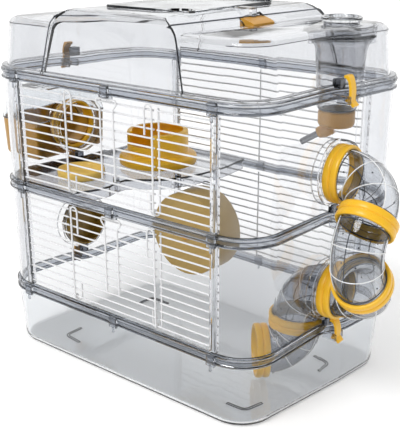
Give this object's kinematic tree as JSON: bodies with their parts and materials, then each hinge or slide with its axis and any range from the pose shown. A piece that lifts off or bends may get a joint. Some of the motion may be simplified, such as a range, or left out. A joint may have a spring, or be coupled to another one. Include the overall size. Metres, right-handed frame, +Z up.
{
  "type": "small animal cage",
  "caption": "Two-storey clear plastic and wire cage with domed lid, front doors, side tube run, wheel, shelf, water bottle and outside nest house.",
  "frame": {"origin": "middle of the tub's underside, on the surface that the cage stands on", "axes": "+X along the cage's length towards the end with the tube run, -Y towards the wire doors, +Z up"},
  "size_m": [0.5343, 0.2472, 0.4026],
  "materials": {
    "clear": "polished clear styrene",
    "wire": "white powder coat",
    "yellow": "glossy moulded",
    "amber": "glossy moulded",
    "smoke": "polished tinted styrene",
    "steel": "drawn tube"
  },
  "bodies": {
    "cage": {"tub": "clear", "tub_rim": "clear", "middle_rim": "clear", "top_rim": "clear", "lower_right_panel": "clear", "lower_left_panel": "clear", "upper_right_panel": "clear", "upper_left_panel": "clear", "lower_back_grille": "wire", "lower_hinge_wire": "wire", "lower_left_grille": "wire", "lower_right_grille": "wire", "upper_back_grille": "wire", "upper_hinge_wire": "wire", "upper_left_grille": "wire", "upper_right_grille": "wire", "upper_outer_elbow": "clear", "side_elbow": "clear", "lower_outer_elbow": "clear", "inner_elbow": "clear", "outlet_elbow": "clear", "upper_port_ring": "yellow", "upper_tube_ring": "yellow", "lower_tube_ring": "yellow", "lower_port_ring": "yellow", "inner_ring": "yellow", "outlet_ring": "yellow", "house_ring": "yellow", "shelf": "smoke", "wheel_axle": "amber", "wheel_hanger": "clear", "house_base": "amber"},
    "lower_door": {"lower_door": "wire", "lower_door_latch": "wire"},
    "upper_door": {"upper_door": "wire", "upper_door_latch": "wire"},
    "tub_clip_right": {"tub_clip_right": "yellow"},
    "tub_clip_left": {"tub_clip_left": "yellow"},
    "middle_clip_right": {"middle_clip_right": "yellow"},
    "middle_clip_left": {"middle_clip_left": "yellow"},
    "lid_clip_right": {"lid_clip_right": "yellow"},
    "lid_clip_left": {"lid_clip_left": "yellow"},
    "lid": {"lid": "clear"},
    "lid_hatch": {"lid_hatch": "clear"},
    "hatch_latch": {"hatch_latch": "amber"},
    "bottle": {"bottle_body": "smoke", "bottle_cap": "amber", "bottle_spout": "steel", "spout_ball": "steel"},
    "refill_cap": {"refill_cap": "clear"},
    "food_bowl": {"food_bowl": "yellow"},
    "toilet": {"toilet": "yellow"},
    "wheel": {"wheel": "amber"},
    "house_roof": {"house_roof": "clear"},
    "port_plug": {"port_plug": "amber"}
  },
  "joints": [
    {"name": "lower_door_hinge", "type": "hinge", "parent": "cage", "child": "lower_door", "pos_m": [-0.0128, -0.1175, 0.0855], "axis": [1, 0, 0], "range_deg": [0, 105]},
    {"name": "upper_door_hinge", "type": "hinge", "parent": "cage", "child": "upper_door", "pos_m": [-0.0128, -0.1175, 0.2105], "axis": [1, 0, 0], "range_deg": [0, 105]},
    {"name": "tub_clip_right_hinge", "type": "hinge", "parent": "cage", "child": "tub_clip_right", "pos_m": [0.1874, 0.0065, 0.07], "axis": [0, 1, 0], "range_deg": [0, 60]},
    {"name": "tub_clip_left_hinge", "type": "hinge", "parent": "cage", "child": "tub_clip_left", "pos_m": [-0.1874, -0.0065, 0.07], "axis": [0, -1, 0], "range_deg": [0, 60]},
    {"name": "middle_clip_right_hinge", "type": "hinge", "parent": "cage", "child": "middle_clip_right", "pos_m": [0.1874, 0.0065, 0.195], "axis": [0, 1, 0], "range_deg": [0, 60]},
    {"name": "middle_clip_left_hinge", "type": "hinge", "parent": "cage", "child": "middle_clip_left", "pos_m": [-0.1874, -0.0065, 0.195], "axis": [0, -1, 0], "range_deg": [0, 35]},
    {"name": "lid_clip_right_hinge", "type": "hinge", "parent": "cage", "child": "lid_clip_right", "pos_m": [0.1874, 0.0065, 0.32], "axis": [0, 1, 0], "range_deg": [0, 60]},
    {"name": "lid_clip_left_hinge", "type": "hinge", "parent": "cage", "child": "lid_clip_left", "pos_m": [-0.1874, -0.0065, 0.32], "axis": [0, -1, 0], "range_deg": [0, 60]},
    {"name": "lid_lift", "type": "slide", "parent": "cage", "child": "lid", "axis": [0, 0, 1], "range_m": [0, 0.09]},
    {"name": "lid_hatch_hinge", "type": "hinge", "parent": "lid", "child": "lid_hatch", "pos_m": [0, 0.072, 0.3992], "axis": [-1, 0, 0], "range_deg": [0, 100]},
    {"name": "hatch_latch_slide", "type": "slide", "parent": "lid", "child": "hatch_latch", "axis": [1, 0, 0], "range_m": [0, 0.003]},
    {"name": "bottle_release", "type": "slide", "parent": "lid", "child": "bottle", "axis": [0, 0, -1], "range_m": [0, 0.02]},
    {"name": "refill_cap_lift", "type": "slide", "parent": "lid", "child": "refill_cap", "axis": [0, 0, 1], "range_m": [0, 0.03]},
    {"name": "food_bowl_lift", "type": "slide", "parent": "cage", "child": "food_bowl", "axis": [0, 0, 1], "range_m": [0, 0.09]},
    {"name": "toilet_lift", "type": "slide", "parent": "cage", "child": "toilet", "axis": [0, 0, 1], "range_m": [0, 0.08]},
    {"name": "wheel_spin", "type": "hinge", "parent": "cage", "child": "wheel", "pos_m": [-0.007, 0.015, 0.14], "axis": [0, 1, 0], "continuous": true},
    {"name": "house_roof_lift", "type": "slide", "parent": "cage", "child": "house_roof", "axis": [0, 0, 1], "range_m": [0, 0.12]},
    {"name": "port_plug_pull", "type": "slide", "parent": "cage", "child": "port_plug", "axis": [-1, 0, 0], "range_m": [0, 0.03]}
  ]
}
